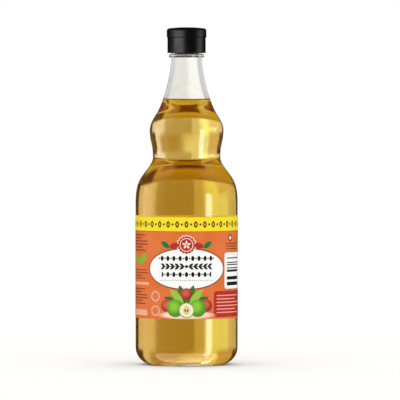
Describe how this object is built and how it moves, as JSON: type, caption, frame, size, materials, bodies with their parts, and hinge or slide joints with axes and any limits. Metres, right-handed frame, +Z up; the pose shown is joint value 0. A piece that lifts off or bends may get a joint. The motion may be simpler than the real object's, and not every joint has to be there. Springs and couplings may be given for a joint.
{
  "type": "vinegar bottle",
  "caption": "Tall round glass bottle with a narrow waist under a bulged shoulder, filled with amber vinegar, wrapped in a printed label and shut with a black cap.",
  "frame": {"origin": "middle of the base, on the surface that the bottle stands on", "axes": "+Z up along the bottle's axis, -Y towards the front of the label"},
  "size_m": [0.0888, 0.0888, 0.2908],
  "materials": {
    "glass": "clear, smooth and glossy",
    "vinegar": "clear amber liquid",
    "label": "printed film, satin",
    "cap": "moulded black plastic, satin gloss"
  },
  "bodies": {
    "root": {"bottle_glass": "glass", "vinegar": "vinegar", "label": "label", "cap": "cap"}
  },
  "joints": []
}
